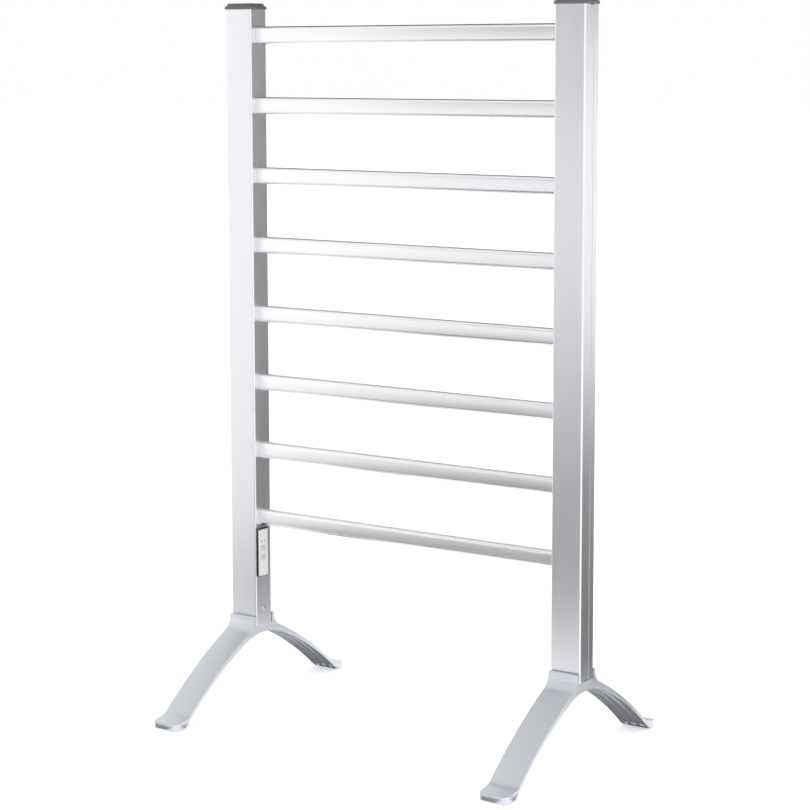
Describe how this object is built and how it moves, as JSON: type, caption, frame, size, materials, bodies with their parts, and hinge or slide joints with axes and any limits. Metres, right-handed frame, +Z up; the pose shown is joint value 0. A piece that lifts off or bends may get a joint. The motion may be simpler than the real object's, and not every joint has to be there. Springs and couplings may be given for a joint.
{
  "type": "towel warmer rack",
  "caption": "Free-standing electric towel warmer: two aluminium uprights joined by heated flat-oval bars, on two arched feet, with a small push-button panel.",
  "frame": {"origin": "centre of the footprint on the floor, half way between the two uprights", "axes": "+X along the bars towards the right upright, -Y to the front, +Z up"},
  "size_m": [0.5452, 0.372, 0.9368],
  "materials": {
    "extrusion": "silver anodised extrusion, fine lengthwise grain, satin",
    "bar_metal": "bright anodised extrusion, smooth",
    "cap_plastic": "mid-grey moulded plastic, satin",
    "foot_plastic": "silver-grey moulded plastic with a fine metallic fleck, satin",
    "screw_steel": "zinc-plated steel",
    "insulator": "heat-resistant insulating plastic",
    "cable_rubber": "black rubber",
    "pad_rubber": "dark rubber",
    "panel_gloss": "black glossy plastic",
    "panel_face": "light silver-grey face",
    "key_plastic": "light grey key",
    "board": "green circuit board",
    "window": "smoked window",
    "brass_tag": "plain"
  },
  "bodies": {
    "frame": {"left_upright": "extrusion", "left_cover_strip": "extrusion", "left_cap": "cap_plastic", "left_foot": "foot_plastic", "left_foot_screw": "screw_steel", "left_bar_screws": "screw_steel", "left_bar_plugs": "insulator", "left_link_wires": "cable_rubber", "left_front_toe_pad": "pad_rubber", "left_rear_toe_pad": "pad_rubber", "right_upright": "extrusion", "right_cover_strip": "extrusion", "right_cap": "cap_plastic", "right_foot": "foot_plastic", "right_foot_screw": "screw_steel", "right_bar_screws": "screw_steel", "right_bar_plugs": "insulator", "right_link_wires": "cable_rubber", "right_front_toe_pad": "pad_rubber", "right_rear_toe_pad": "pad_rubber", "bar_1": "bar_metal", "bar_2": "bar_metal", "bar_3": "bar_metal", "bar_4": "bar_metal", "bar_5": "bar_metal", "bar_6": "bar_metal", "bar_7": "bar_metal", "bar_8": "bar_metal", "heater_1": "insulator", "heater_2": "insulator", "heater_3": "insulator", "heater_4": "insulator", "heater_5": "insulator", "heater_6": "insulator", "heater_7": "insulator", "heater_8": "insulator", "panel_housing": "panel_gloss", "panel_plate": "panel_face", "control_board": "board", "indicator_windows": "window", "panel_screws": "screw_steel", "thermal_cutout": "panel_gloss", "terminal_block": "insulator", "earth_screw": "screw_steel", "earth_tag": "brass_tag", "cord_gland": "cable_rubber"},
    "power_key": {"power_button": "key_plastic"},
    "timer_key": {"timer_button": "key_plastic"}
  },
  "joints": [
    {"name": "power_press", "type": "slide", "parent": "frame", "child": "power_key", "axis": [-1, 0, 0], "range_m": [0, 0.0008], "stiffness_N_per_m": 400},
    {"name": "timer_press", "type": "slide", "parent": "frame", "child": "timer_key", "axis": [-1, 0, 0], "range_m": [0, 0.0008], "stiffness_N_per_m": 400}
  ]
}
